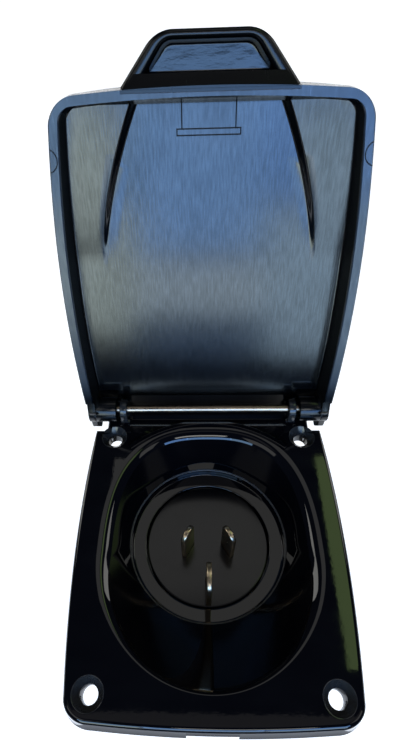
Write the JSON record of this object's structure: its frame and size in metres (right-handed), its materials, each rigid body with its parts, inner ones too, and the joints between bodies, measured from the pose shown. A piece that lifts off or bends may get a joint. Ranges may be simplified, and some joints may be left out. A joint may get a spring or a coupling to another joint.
{
  "type": "generator inlet box",
  "caption": "Flush weatherproof power inlet: moulded flange with a deep oval bowl, flat contact blades on a round base, a hinged lid with finger pull, and a rear cover with a cable spout.",
  "frame": {"origin": "middle of the rear cover's flat back face, on the axis of the pin base", "axes": "+Z out through the front of the inlet, +Y towards the lid hinge, +X to the right in the picture"},
  "size_m": [0.0848, 0.1394, 0.1646],
  "materials": {
    "plate_plastic": "polished black moulding",
    "lid_plastic": "satin charcoal moulding with fine drag lines",
    "cover_plastic": "satin black moulding",
    "hinge_steel": "bright drawn rod",
    "contact_metal": "nickel-washed brass blade",
    "terminal_brass": "raw brass",
    "screw_steel": "zinc plated",
    "seal_rubber": "matt black rubber",
    "gasket_foam": "closed-cell foam"
  },
  "bodies": {
    "base": {"front_plate": "plate_plastic", "hinge_pin": "hinge_steel", "pin_base": "plate_plastic", "active_pin": "contact_metal", "neutral_pin": "contact_metal", "earth_pin": "contact_metal", "active_terminal": "terminal_brass", "neutral_terminal": "terminal_brass", "earth_terminal": "terminal_brass", "active_terminal_screw": "screw_steel", "neutral_terminal_screw": "screw_steel", "earth_terminal_screw": "screw_steel", "base_screw_1": "screw_steel", "base_screw_2": "screw_steel", "base_screw_3": "screw_steel", "base_seal": "seal_rubber", "flange_gasket": "gasket_foam", "rear_cover": "cover_plastic", "cover_screw_left": "screw_steel", "cover_screw_right": "screw_steel", "cable_grommet": "seal_rubber", "cord_clamp": "cover_plastic", "clamp_screw_left": "screw_steel", "clamp_screw_right": "screw_steel"},
    "lid": {"lid": "lid_plastic"}
  },
  "joints": [
    {"name": "lid_hinge", "type": "hinge", "parent": "base", "child": "lid", "pos_m": [0, 0.0354, 0.06905], "axis": [1, 0, 0], "range_deg": [0, 114]}
  ]
}
